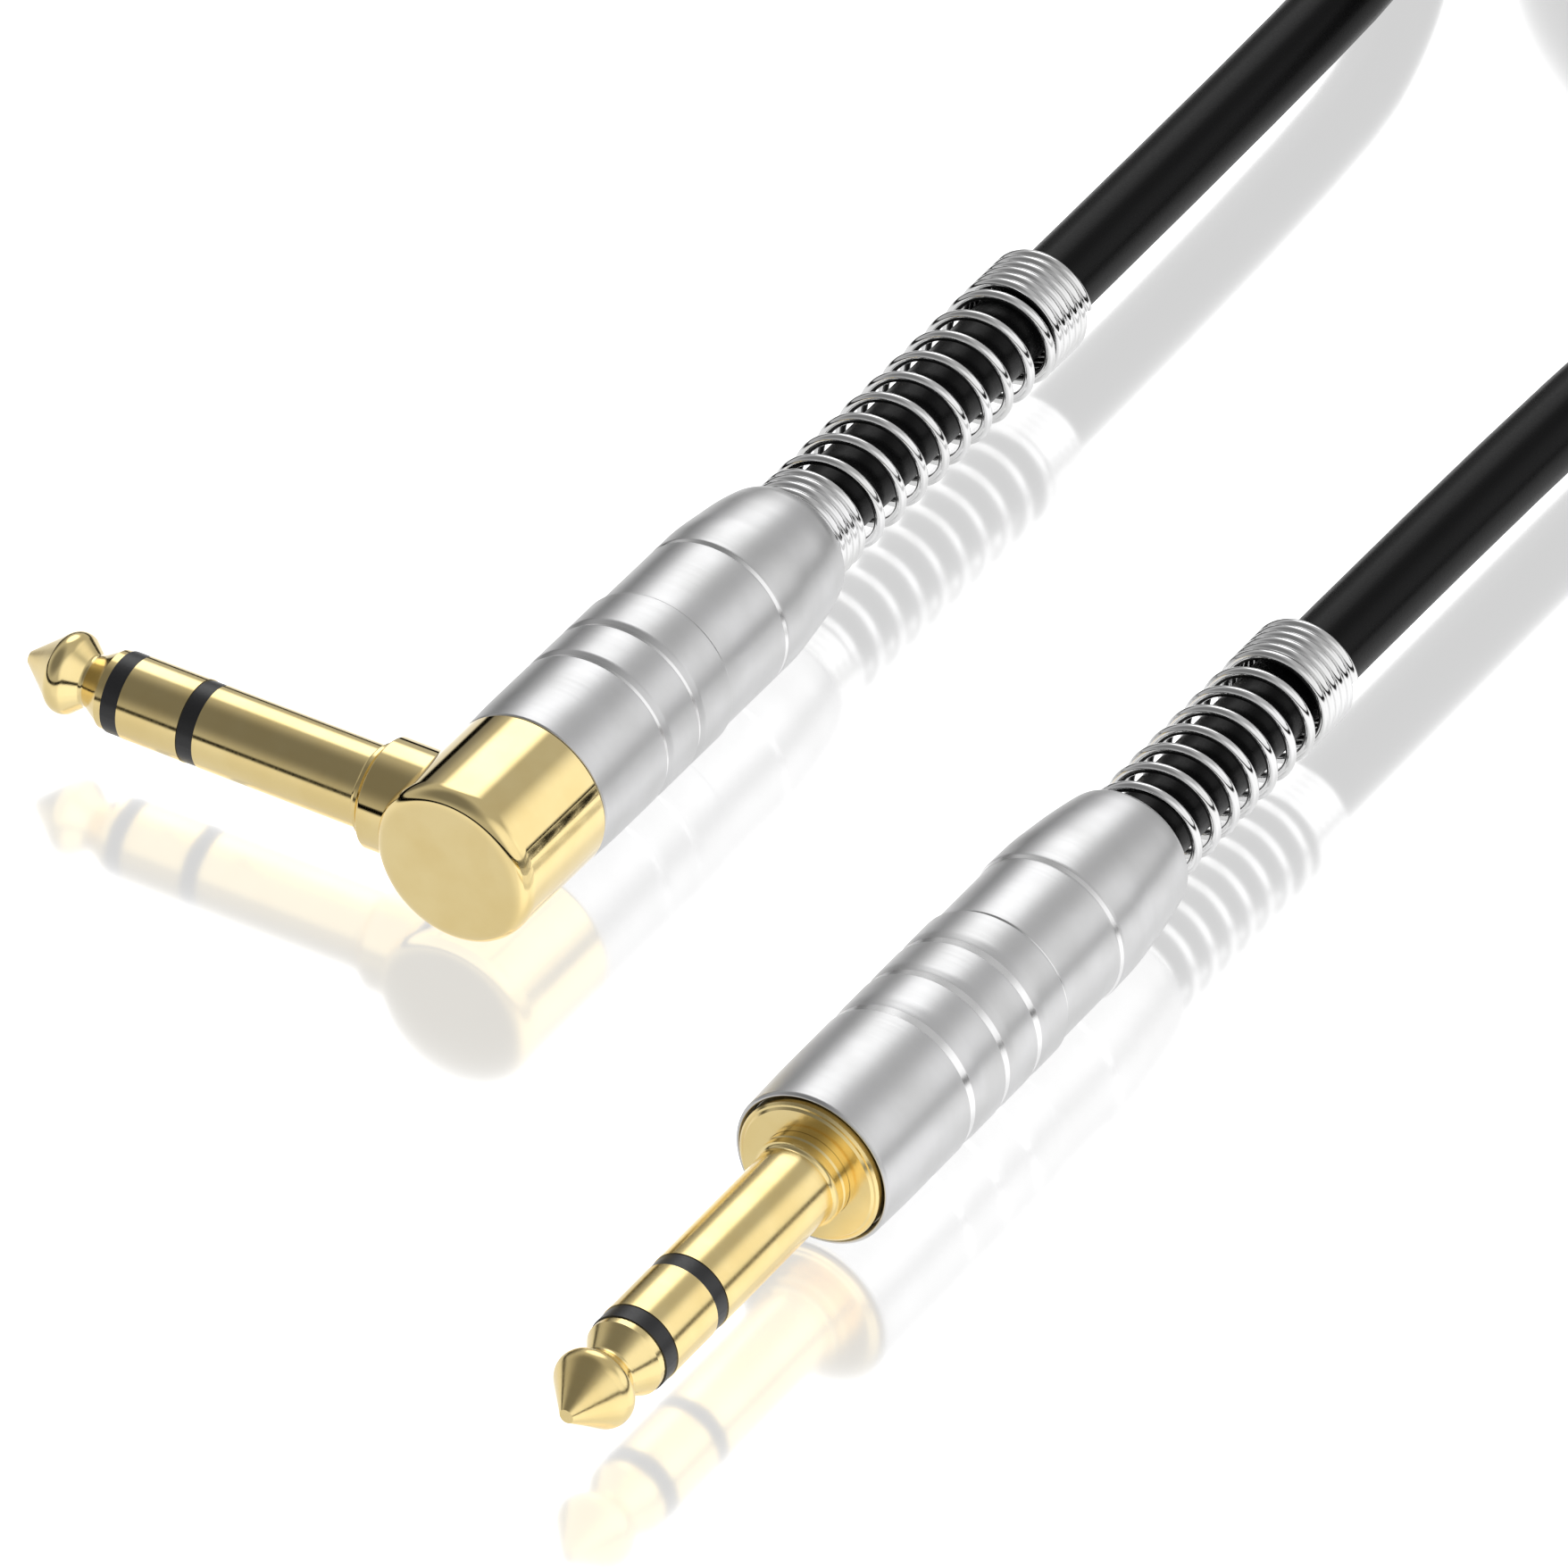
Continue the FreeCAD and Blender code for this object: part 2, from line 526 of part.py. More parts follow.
def elbow_housing():
    """Elbow of the right-angle plug, about its own axis with the shell joint at 0."""
    closed = -ELBOW_LEN
    edge = ELBOW_EDGE
    mid = edge * (1 - math.sqrt(0.5))
    outer = [(closed, 0), (closed, ELBOW_R - edge), (closed + mid, ELBOW_R - mid, closed + edge, ELBOW_R),
             (-SEAT_GAP - 0.12, ELBOW_R), (-SEAT_GAP, ELBOW_R - 0.12), (-SEAT_GAP, THREAD_R - THREAD_DEPTH)]
    outer += thread_outline(-SEAT_GAP, THREAD_TURNS, THREAD_R)
    outer += [(SPIGOT_LEN, THREAD_R - THREAD_DEPTH), (SPIGOT_LEN, 0)]
    body = lathe(outer)
    pin_y = -ELBOW_LEN / 2
    boss_len = ELBOW_PIN_REACH - BOSS_FRONT
    boss = Part.makeCylinder(BOSS_R, boss_len, V(-boss_len, pin_y, 0), V(1, 0, 0))
    cavity = Part.makeCylinder(SPIGOT_BORE_R, ELBOW_LEN + SPIGOT_LEN, V(0, closed + ELBOW_WALL, 0), ALONG)
    pad = block(V(-2 * ELBOW_R, closed, -ELBOW_R), V(-ELBOW_PAD, 0, ELBOW_R))
    bore = Part.makeCylinder(NECK_IN_R + PRESS_GAP, boss_len, V(-boss_len, pin_y, 0), V(1, 0, 0))
    seat = Part.makeCylinder(COLLAR_R + PRESS_GAP, COLLAR_SEAT, V(-boss_len, pin_y, 0), V(1, 0, 0))
    return body.fuse(boss).removeSplitter().cut(cavity.cut(pad)).cut(bore).cut(seat)


# ==== cord ==============================================================================
def cord_tube(name, route):
    """One free stretch of the cord, with its check of bends and volume."""
    solid, length, radii = rod_along(route, CORD_D)
    share = solid.Volume / (math.pi * CORD_R ** 2 * length)
    print(name, "length %.1f" % length, "radii", ["%.0f" % radius for radius in radii],
          "volume/section %.4f" % share)
    save(name, solid)


def coil_outline(grow):
    """Corners of the coil's section as (radius, height), grown outwards by a margin."""
    base = -grow
    return [(COIL_IN_R - grow, base), (COIL_OUT_R + grow, base),
            (COIL_OUT_R + grow, COIL_SHOULDER + grow / 2),
            (COIL_TOP_R + grow / 2, COIL_HEIGHT + grow), (COIL_IN_R - grow, COIL_HEIGHT + grow)]


def coil():
    """Outer shape of the wound-up cord."""
    corners = [V(radius, 0, height) for radius, height in coil_outline(0)]
    face = Part.Face(Part.makePolygon(corners + corners[:1]))
    solid = face.revolve(V(0, 0, 0), V(0, 0, 1), 360)
    rims = [edge for edge in solid.Edges if edge.Curve.TypeId == "Part::GeomCircle" and edge.isClosed()]
    return at(solid.makeFillet(COIL_ROUND, rims), COIL_CENTRE)


def tie():
    """Strap round the coil's far side."""
    inset = COIL_IN_R - math.sqrt(COIL_IN_R ** 2 - (TIE_W / 2) ** 2)

    def band(grow):
        corners = []
        for radius, height in coil_outline(grow):
            across = radius - inset if radius < COIL_IN_R else radius
            corners.append(V(-TIE_W / 2, across, height))
        face = Part.Face(Part.makePolygon(corners + corners[:1]))
        return face.extrude(V(TIE_W, 0, 0))

    strap = band(TIE_CLEAR + TIE_T).cut(band(TIE_CLEAR))
    return at(strap, COIL_CENTRE)


# ==== assemblies ========================================================================
def build_straight_plug():
    """All pieces of the straight plug."""
    place = STRAIGHT_TIP
    stack = STRAIGHT_BODY_END + STACK_GAP
    places = stack_places(stack)
    lug_end = STRAIGHT_BODY_END + STRAIGHT_LUG_LEN
    for name, solid in pin_pieces(stack, DISC_FRONT).items():
        save("straight_" + name, at(solid, place))
    save("straight_front_body", at(straight_body(), place))
    save("straight_washers", *[at(washer, place) for washer in washers(stack)])
    ring_lug = folded_lug(places[2], LUG_R, RING_TUBE_R + PRESS_GAP, 1, LUG_W, lug_end, WING_IN_R)
    tip_lug = folded_lug(places[4], LUG_R, ROD_R + PRESS_GAP, -1, LUG_W, lug_end, WING_IN_R)
    clamp = straight_clamp(stack)
    save("straight_ring_lug", at(ring_lug, place))
    save("straight_tip_lug", at(tip_lug, place))
    save("straight_ground_clamp", at(clamp, place))

    jacket = STRAIGHT_JACKET - STACK_GAP
    solder_y = lug_end - LUG_W / 2 - 0.6
    core_at = WING_IN_R - SOLDER_FILM - CORE_D / 2
    tail_at = -(WING_IN_R - SOLDER_FILM - BRAID_D / 2)
    cores = []
    drops = []
    for side in (1, -1):
        wire_end = V(side * core_at, solder_y, 0)
        cores.append(wire([wire_end, V(side * core_at, lug_end + 1.0, 0),
                           V(side * CORE_PITCH / 2, jacket - 1.2, 0),
                           V(side * CORE_PITCH / 2, jacket, 0)], CORE_D))
        drops.append(solder_drop(wire_end, CORE_D, V(side, 0, 0)))
    tail_end = V(0, solder_y, tail_at)
    tail = wire([tail_end, V(0, lug_end + 1.0, tail_at),
                 V(0, jacket - 1.2, -1.6), V(0, jacket, -1.6)], BRAID_D)
    drops.append(solder_drop(tail_end, BRAID_D, V(0, 0, -1)))
    save("straight_ring_core", at(cores[0], place))
    save("straight_tip_core", at(cores[1], place))
    save("straight_shield_tail", at(tail, place))
    save("straight_solder_joints", *[at(drop, place) for drop in drops])

    save("straight_shell", at(straight_shell(), place + ALONG * STRAIGHT_SHELL_START))
    shell_end = STRAIGHT_SHELL_START + STRAIGHT_SHELL_LEN
    flare_start = STRAIGHT_SHELL_START + STRAIGHT_BORE_LEN - FLARE_LEN
    tube = ring(STRAIGHT_TUBE_START, flare_start - STRAIGHT_TUBE_SPACE, TUBE_OUT_R, TUBE_IN_R)
    save("straight_insulating_tube", at(tube, place))
    coils = spring(shell_end, STRAIGHT_OPEN_END, STRAIGHT_SPRING_END - WIRE_D / 2, flare_start,
                   STRAIGHT_OPEN_PITCH)
    save("straight_spring", at(coils, place))
    print("straight spring valid", coils.isValid(), "volume %.2f" % coils.Volume)


def build_angle_plug():
    """All pieces of the right-angle plug."""
    pad_from_tip = ELBOW_PIN_REACH - ELBOW_PAD
    stack = pad_from_tip + STACK_GAP
    places = stack_places(stack)
    place = ANGLE_JOINT
    pin_place = V(ANGLE_AXIS_X, ANGLE_PIN_Y, ANGLE_R)
    for name, solid in pin_pieces(stack, BOSS_FRONT).items():
        save("angle_" + name, at(solid, ANGLE_TIP, -90))
    save("angle_elbow_housing", at(elbow_housing(), place))
    save("angle_washers", *[at(washer, ANGLE_TIP, -90) for washer in washers(stack)])
    half = ELBOW_LEN / 2
    lug_end = half + ANGLE_LUG_END
    inner = 0.75
    ring_lug = flat_lug(places[2] - ELBOW_PIN_REACH, LUG_R, RING_TUBE_R + PRESS_GAP,
                        inner, inner + 2.0, lug_end)
    tip_lug = flat_lug(places[4] - ELBOW_PIN_REACH, LUG_R, ROD_R + PRESS_GAP,
                       -inner - 2.0, -inner, lug_end)
    clamp = angle_clamp(stack - ELBOW_PIN_REACH, half)
    save("angle_ring_lug", at(ring_lug, pin_place))
    save("angle_tip_lug", at(tip_lug, pin_place))
    save("angle_ground_clamp", at(clamp, pin_place))

    jacket = half + ANGLE_JACKET - STACK_GAP
    solder_y = lug_end - 1.6
    tail_y = lug_end + 0.2
    leads = []
    drops = []
    for front, height in ((places[2], inner + 1.0), (places[4], -inner - 1.0)):
        beside = front - ELBOW_PIN_REACH + LUG_T + SOLDER_FILM + CORE_D / 2
        turn_in = CORE_PITCH / 2 if height > 0 else -CORE_PITCH / 2
        wire_end = V(beside, solder_y, height)
        leads.append(wire([wire_end, V(beside, lug_end + 0.8, height),
                           V(0.2, jacket - 1.0, turn_in), V(0.2, jacket, turn_in)], CORE_D))
        drops.append(solder_drop(wire_end, CORE_D, V(-1, 0, 0)))
    tail_end = V(stack - ELBOW_PIN_REACH + LUG_T + SOLDER_FILM + BRAID_D / 2, tail_y, 0)
    tail = wire([tail_end, V(tail_end.x, tail_y + 1.5, 0),
                 V(-1.7, jacket - 1.0, 0), V(-1.7, jacket, 0)], BRAID_D)
    drops.append(solder_drop(tail_end, BRAID_D, V(-1, 0, 0)))
    save("angle_ring_core", at(leads[0], pin_place))
    save("angle_tip_core", at(leads[1], pin_place))
    save("angle_shield_tail", at(tail, pin_place))
    save("angle_solder_joints", *[at(drop, pin_place) for drop in drops])

    save("angle_shell", at(angle_shell(), place))
    flare_start = ANGLE_BORE_LEN - FLARE_LEN
    tube = ring(ANGLE_TUBE_START, flare_start - ANGLE_TUBE_SPACE, TUBE_OUT_R, TUBE_IN_R)
    save("angle_insulating_tube", at(tube, place))
    coils = spring(ANGLE_OPEN_START, ANGLE_OPEN_END, ANGLE_SPRING_END - WIRE_D / 2, flare_start,
                   ANGLE_OPEN_PITCH)
    save("angle_spring", at(coils, place))
    print("angle spring valid", coils.isValid(), "volume %.2f" % coils.Volume)


def build_cord():
    """The cord's free stretches, the coil between them and its tie."""
    cord_tube("cord_from_straight", STRAIGHT_ROUTE)
    cord_tube("cord_from_angle", ANGLE_ROUTE)
    save("cord_coil", coil())
    save("coil_tie", tie())


os.makedirs("parts", exist_ok=True)
build_straight_plug()
build_angle_plug()
build_cord()
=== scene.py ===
"""Looks of the instrument cable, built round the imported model.  Metres, +Z up."""
import json
import math

import bpy
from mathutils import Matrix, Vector


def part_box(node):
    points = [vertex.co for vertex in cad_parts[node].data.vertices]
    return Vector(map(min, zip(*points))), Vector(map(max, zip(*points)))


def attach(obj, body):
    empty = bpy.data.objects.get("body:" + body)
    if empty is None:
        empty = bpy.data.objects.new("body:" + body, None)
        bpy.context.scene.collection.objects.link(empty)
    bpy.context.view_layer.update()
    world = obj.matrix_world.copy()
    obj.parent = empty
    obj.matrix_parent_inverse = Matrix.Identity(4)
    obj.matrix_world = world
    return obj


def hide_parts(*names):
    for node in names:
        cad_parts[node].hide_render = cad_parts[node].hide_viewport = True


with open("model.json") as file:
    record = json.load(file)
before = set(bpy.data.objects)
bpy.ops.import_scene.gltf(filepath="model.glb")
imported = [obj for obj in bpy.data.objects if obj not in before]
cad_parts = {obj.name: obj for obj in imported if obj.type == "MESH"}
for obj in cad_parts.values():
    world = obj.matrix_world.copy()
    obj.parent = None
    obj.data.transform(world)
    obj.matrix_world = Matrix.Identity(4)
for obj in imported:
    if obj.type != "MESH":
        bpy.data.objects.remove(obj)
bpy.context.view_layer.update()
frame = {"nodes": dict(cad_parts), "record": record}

MM = 0.001

# ---- camera ----------------------------------------------------------------------------------
CAMERA_AZIMUTH = 31.8
CAMERA_ELEVATION = 37.4
CAMERA_DISTANCE = 1.239
CAMERA_TARGET = Vector((0.0113, 0.0039, 0.00633))
LENS = 400.0
SENSOR = 36.0
CAMERA_CLIP = (0.05, 50.0)

# ---- floor and light ---------------------------------------------------------------------------
FLOOR_HALF = 3.0
FLOOR_GLOW = 1.42
FLOOR_ROUGHNESS = 0.15
FLOOR_MIRROR = 0.55
# Sines of elevation: a reflected ray sees the floor dark below the first and lit above the second.
FLOOR_EDGE = (0.06, 0.13)
AMBIENT = 0.5
# The same for the studio above the horizon.
HORIZON_LINE = (0.04, 0.09)
LIGHT_PATCHES = [  # azimuth from +Y towards +X, elevation, inner and outer radius, strength
    (-28, 39, 12, 23, 1.35),     # softbox behind
    (52, 16, 12, 34, 0.6),       # softbox on the right
    (112, 22, 15, 45, 0.55),     # its reach to the front
    (-138, 51, 15, 50, -0.3),    # dark corner over the left shoulder
    (-62, 2, 5, 26, -0.35),      # dark gap on the left
]

# ---- cord --------------------------------------------------------------------------------------
CORD_D = 0.006
STRAIGHT_ROUTE = [
    (0.036, 0.01015, 0.00633),
    (0.036, 0.078, 0.00633),
    (0.0386, 0.102, 0.0043),
    (0.047, 0.1225, 0.0031),
    (0.057, 0.1425, 0.0034),
    (0.0612, 0.162, 0.0042),
]
ANGLE_ROUTE = [
    (-0.0034, 0.00675, 0.00657),
    (-0.0034, 0.104, 0.00657),
    (-0.007, 0.125, 0.0046),
    (-0.016, 0.142, 0.0033),
    (-0.0255, 0.1585, 0.0035),
    (-0.029, 0.179, 0.0042),
]
COIL_CENTRE = (0.019, 0.181)
LAYER_Z = [0.0042, 0.0102, 0.0162, 0.0222]
COIL_STEPS = 16                  # control points a turn
COIL_STAGES = [  # turns, radius from and to in millimetres, layer from and to
    (3.0, 42.0, 24.0, 0, 0), (3.0, 24.0, 42.0, 0, 1), (3.0, 42.0, 24.0, 1, 2), (2.5, 24.0, 39.0, 2, 3)]
OUTER_TURN = [  # quarters of the last turn: radius from and to, height from and to, in millimetres
    (39, 42, 22.2, 22.2), (42, 48, 22.2, 16.2), (48, 48, 16.2, 4.2), (48, 48, 4.2, 4.2)]
CORD_ORDER = 3
CORD_RESOLUTION = 8
CORD_BEVEL_STEPS = 10

# ---- shells, in millimetres: distance from the front end, radius, rounding of the corner ----------
# A corner with a fourth entry starts a run cut bright, in a lighter nickel whose colour paints in the
# highlight on the groove slopes.
STRAIGHT_SHELL = [
    (0.28, 5.80, 0.05), (0.0, 5.95, 0.10), (0.0, 6.06, 0.06), (0.17, 6.23, 0.10), (4.0, 6.33, 1.5),
    (10.8, 6.33, 0.05), (10.95, 6.09, 0.04, "highlight_cut"), (11.75, 6.24, 0.15), (12.6, 6.33, 0.30),
    (15.5, 6.33, 0.05), (15.65, 6.09, 0.04, "highlight_cut"), (16.35, 6.25, 0.12), (16.9, 6.33, 0.20),
    (19.8, 6.33, 0.05), (19.95, 6.09, 0.04, "highlight_cut"), (20.65, 6.25, 0.12), (21.2, 6.33, 0.20),
    (23.95, 6.33, 0.06), (24.05, 6.02, 0.03), (24.25, 6.02, 0.03, "highlight_cut"), (24.35, 6.11, 0.05),
    (31.25, 6.10, 0.10, "highlight_cut"), (31.8, 6.28, 0.15), (34.9, 6.23, 1.0),
    (38.9, 5.80, 1.5), (41.3, 5.42, 0.5), (42.15, 5.24, 0.4), (42.5, 4.95, 0.20),
    (42.5, 4.60, 0.10), (37.0, 4.60, 0.10), (37.0, 5.35, 0.10), (1.2, 5.35, 0.10), (1.2, 5.80, 0.10)]
ANGLE_SHELL = [
    (0.0, 5.35, 0.10), (0.0, 6.38, 0.06), (0.10, 6.48, 0.06), (2.8, 6.57, 0.8),
    (8.0, 6.57, 0.06), (8.2, 6.25, 0.04, "highlight_cut"), (8.5, 6.40, 0.05), (8.9, 6.57, 0.12),
    (12.3, 6.57, 0.06), (12.5, 6.25, 0.04, "highlight_cut"), (12.8, 6.40, 0.05), (13.2, 6.57, 0.12),
    (16.8, 6.57, 0.08), (17.0, 6.36, 0.06),
    (24.35, 6.35, 0.05), (24.5, 6.16, 0.05, "highlight_cut"), (24.85, 6.35, 0.08),
    (27.5, 6.35, 1.0), (32.0, 5.82, 1.2), (33.7, 5.45, 0.5), (34.3, 5.20, 0.3), (34.5, 4.95, 0.15),
    (34.5, 4.60, 0.10), (29.0, 4.60, 0.10), (29.0, 5.35, 0.10)]
# The elbow, from the shell joint at 0; both its ends are closed by a flat face.
ELBOW = [
    (-10.7, 2.0, 0), (-10.7, 6.48, 1.5), (-0.17, 6.48, 0.05), (-0.05, 6.36, 0.04), (-0.05, 4.85, 0.02),
    *[corner for turn in range(6) for corner in (
        (turn + 0.05, 4.85, 0.03), (turn + 0.20, 4.85, 0.03),
        (turn + 0.50, 5.2, 0.06), (turn + 0.70, 5.2, 0.06))],
    (6.0, 4.85, 0.05), (6.0, 4.30, 0.10), (-9.7, 4.30, 0.4), (-9.7, 2.0, 0)]
# Its boss, from the shell's axis towards the tip; the runs that start at 0 end on the elbow.
BOSS = [(0.0, 3.05, 0), (7.58, 3.05, 0.05), (7.58, 3.53, 0.03), (8.58, 3.53, 0.06), (8.58, 4.25, 0.16),
        (0.0, 4.25, 0)]
BOSS_SINK = 6.3
PIN_FROM_JOINT = -5.35
LATHE_SEGMENTS = 180
CORNER_STEPS = 5
CORNER_PLACES = CORNER_STEPS + 1

# ---- tie, in millimetres: radius and height round the coil, corners of its inner face ---------------
TIE_WIDTH = 0.016
TIE_LAYER = 0.00046
TIE_CLEAR = 0.0002
TIE_ROUNDING = 0.004
TIE_MIDDLE = (0.036, 0.0132)       # out from the coil's centre, and up
TIE_LAP_GAP = 0.00003
# The lap runs from just before the third corner's places to just past the start of the fifth's.
LAP_FROM = 2 * CORNER_PLACES - 2
LAP_TO = 4 * CORNER_PLACES + 2
TIE_LOOP = [(21.0, 1.2), (51.0, 1.2), (51.0, 19.2), (45.0, 25.2), (21.0, 25.2)]


# ---- textures of the metals, as noise cells a metre ------------------------------------------------
MOTTLING = 220.0
LATHE_LINES = 5200.0
METAL_GRAIN = 9000.0


# ==== node helpers ===============================================================================
class Nodes:
    """A node material, with short ways to add and join its nodes."""

    def __init__(self, name):
        self.material = bpy.data.materials.new(name)
        self.material.use_nodes = True
        self.tree = self.material.node_tree
        self.shader = self.tree.nodes["Principled BSDF"]
        self.coords = self.tree.nodes.new("ShaderNodeTexCoord").outputs["Object"]

    def add(self, kind, links=None, **settings):
        node = self.tree.nodes.new(kind)
        for key, value in settings.items():
            setattr(node, key, value)
        for socket, source in (links or {}).items():
            if isinstance(source, bpy.types.NodeSocket):
                self.tree.links.new(source, node.inputs[socket])
            else:
                node.inputs[socket].default_value = source
        return node

    def link(self, source, socket):
        self.tree.links.new(source, self.shader.inputs[socket])

    def set(self, **values):
        for socket, value in values.items():
            self.shader.inputs[socket.replace("_", " ")].default_value = value

    def noise(self, scale, detail=4.0, stretch=None):
        """Noise over the object's own coordinates, in cells of 1/scale metres, stretched if asked."""
        vector = self.coords
        if stretch:
            vector = self.add("ShaderNodeVectorMath", {0: vector, 1: stretch},
                              operation="MULTIPLY").outputs[0]
        noise = self.add("ShaderNodeTexNoise", {"Vector": vector, "Scale": scale, "Detail": detail})
        return noise.outputs["Fac"]

    def span(self, value, low, high, to_low, to_high):
        return self.add("ShaderNodeMapRange", {"Value": value, "From Min": low, "From Max": high,
                                               "To Min": to_low, "To Max": to_high}).outputs["Result"]

    def blend(self, factor, first, second):
        """Colour between two, by a factor from 0 to 1."""
        node = self.add("ShaderNodeMix", data_type="RGBA")
        self.tree.links.new(factor, node.inputs[0])
        for socket, color in ((node.inputs[6], first), (node.inputs[7], second)):
            socket.default_value = (*color, 1)
        return node.outputs[2]

    def bump(self, height, distance, under=None):
        node = self.add("ShaderNodeBump", {"Height": height, "Distance": distance})
        if under:
            self.tree.links.new(under, node.inputs["Normal"])
        return node.outputs["Normal"]


def turned_metal(name, bright, dull, roughness, spread, axis, line_height, grain_height, coat=0.0):
    """Plated metal turned on a lathe: faint lines across its axis, a fine grain and soft mottling."""
    n = Nodes(name)
    n.set(Metallic=1.0, Coat_Weight=coat, Coat_Roughness=0.05)
    mottling = n.noise(MOTTLING, 3.0)
    n.link(n.blend(n.span(mottling, 0.35, 0.65, 0.0, 1.0), bright, dull), "Base Color")
    stretch = [0.02, 0.02, 0.02]
    stretch["XYZ".index(axis)] = 1.0
    lines = n.noise(LATHE_LINES, 2.0, tuple(stretch))
    grain = n.noise(METAL_GRAIN, 2.0)
    worn = n.add("ShaderNodeMath", {0: mottling, 1: lines}, operation="ADD").outputs[0]
    n.link(n.span(worn, 0.7, 1.3, roughness - spread, roughness + spread), "Roughness")
    n.link(n.bump(grain, grain_height, under=n.bump(lines, line_height)), "Normal")
    return n.material


def plastic(name, light, dark, roughness, scale, height, **shader):
    """Moulded or extruded plastic with a fine texture."""
    n = Nodes(name)
    n.set(**shader)
    cloud = n.noise(150.0, 3.0)
    n.link(n.blend(n.span(cloud, 0.35, 0.65, 0.0, 1.0), light, dark), "Base Color")
    grain = n.noise(scale, 3.0)
    n.link(n.span(grain, 0.3, 0.7, roughness - 0.04, roughness + 0.04), "Roughness")
    n.link(n.bump(grain, height), "Normal")
    return n.material


def strands(name, light, dark, roughness, pitch, height):
    """Twisted shield: slanting strands, dark between them."""
    n = Nodes(name)
    n.set(Metallic=1.0)
    wave = n.add("ShaderNodeTexWave", {"Vector": n.coords, "Scale": 1 / pitch / 3.14, "Distortion": 0.6,
                                       "Detail": 1.0}, bands_direction="DIAGONAL").outputs["Fac"]
    n.link(n.blend(wave, dark, light), "Base Color")
    n.link(n.span(wave, 0.0, 1.0, roughness + 0.2, roughness), "Roughness")
    n.link(n.bump(wave, height), "Normal")
    return n.material


def hook_fabric(name, light, dark):
    """Hook-and-loop tape: a mat of fine loops with a rough nap."""
    n = Nodes(name)
    n.set(Sheen_Weight=0.5, Sheen_Roughness=0.6)
    loops = n.add("ShaderNodeTexVoronoi", {"Vector": n.coords, "Scale": 1700.0}).outputs["Distance"]
    nap = n.noise(4000.0, 4.0)
    both = n.add("ShaderNodeMath", {0: loops, 1: nap}, operation="MULTIPLY").outputs[0]
    n.link(n.blend(n.span(both, 0.05, 0.45, 0.0, 1.0), dark, light), "Base Color")
    n.link(n.span(nap, 0.3, 0.7, 0.75, 0.95), "Roughness")
    n.link(n.bump(both, 0.00025), "Normal")
    return n.material


GOLD = ((0.95, 0.765, 0.37), (0.90, 0.70, 0.31))
MATERIALS = {
    "gold_plate": turned_metal("gold_plate", *GOLD, 0.20, 0.03, "Y", 0.000001, 0.0000006, 0.2),
    "gold_across": turned_metal("gold_across", *GOLD, 0.13, 0.03, "X", 0.000001, 0.0000006, 0.4),
    "gold_polished": turned_metal("gold_polished", *GOLD, 0.07, 0.02, "Y", 0.0000002, 0.0000002, 0.5),
    "satin_nickel": turned_metal("satin_nickel", (0.70, 0.70, 0.705), (0.65, 0.65, 0.65), 0.36, 0.03,
                                 "Y", 0.000002, 0.0000025),
    # Lighter, smoother copy of the satin nickel for the groove slopes: cut bright, with a painted highlight
    # in its colour.
    "highlight_cut_nickel": turned_metal("highlight_cut_nickel", (0.93, 0.93, 0.93), (0.88, 0.88, 0.88), 0.22, 0.03, "Y",
                               0.0000006, 0.0000003),
    "bright_spring": turned_metal("bright_spring", (0.84, 0.84, 0.845), (0.78, 0.78, 0.775), 0.09, 0.03, "Z",
                                  0.0000003, 0.0000003),
    "tinned_brass": turned_metal("tinned_brass", (0.74, 0.73, 0.70), (0.66, 0.64, 0.58), 0.28, 0.06, "Z",
                                 0.0000008, 0.000001),
    "solder": turned_metal("solder", (0.76, 0.76, 0.77), (0.62, 0.62, 0.64), 0.2, 0.08, "Z",
                           0.000001, 0.000003),
    "copper_shield": strands("copper_shield", (0.83, 0.50, 0.33), (0.42, 0.20, 0.11), 0.28, 0.00035, 0.00004),
    "black_insulator": plastic("black_insulator", (0.022, 0.022, 0.024), (0.014, 0.014, 0.015), 0.35,
                               6000.0, 0.000004),
    "red_core": plastic("red_core", (0.58, 0.045, 0.03), (0.48, 0.03, 0.022), 0.33, 5000.0, 0.000006),
    "white_core": plastic("white_core", (0.82, 0.81, 0.78), (0.74, 0.73, 0.70), 0.33, 5000.0, 0.000006),
    "clear_tube": plastic("clear_tube", (0.90, 0.92, 0.92), (0.82, 0.85, 0.85), 0.22, 3000.0, 0.000004,
                          Transmission_Weight=0.8, IOR=1.45),
    "cord_jacket": plastic("cord_jacket", (0.0036, 0.0036, 0.0038), (0.0028, 0.0028, 0.0030), 0.30,
                           5200.0, 0.000006, Specular_IOR_Level=0.11),
    "hook_tie": hook_fabric("hook_tie", (0.030, 0.030, 0.033), (0.006, 0.006, 0.007)),
}
OTHER_FINISH = {"angle_tip_contact": "gold_across", "angle_ring_contact": "gold_across",
                "angle_sleeve_contact": "gold_across", "angle_elbow_housing": "gold_polished"}

for part in frame["record"]["subparts"]:
    mesh = frame["nodes"][part["node"]].data
    mesh.materials.clear()
    mesh.materials.append(MATERIALS[OTHER_FINISH.get(part["node"], part["material_slot"])])


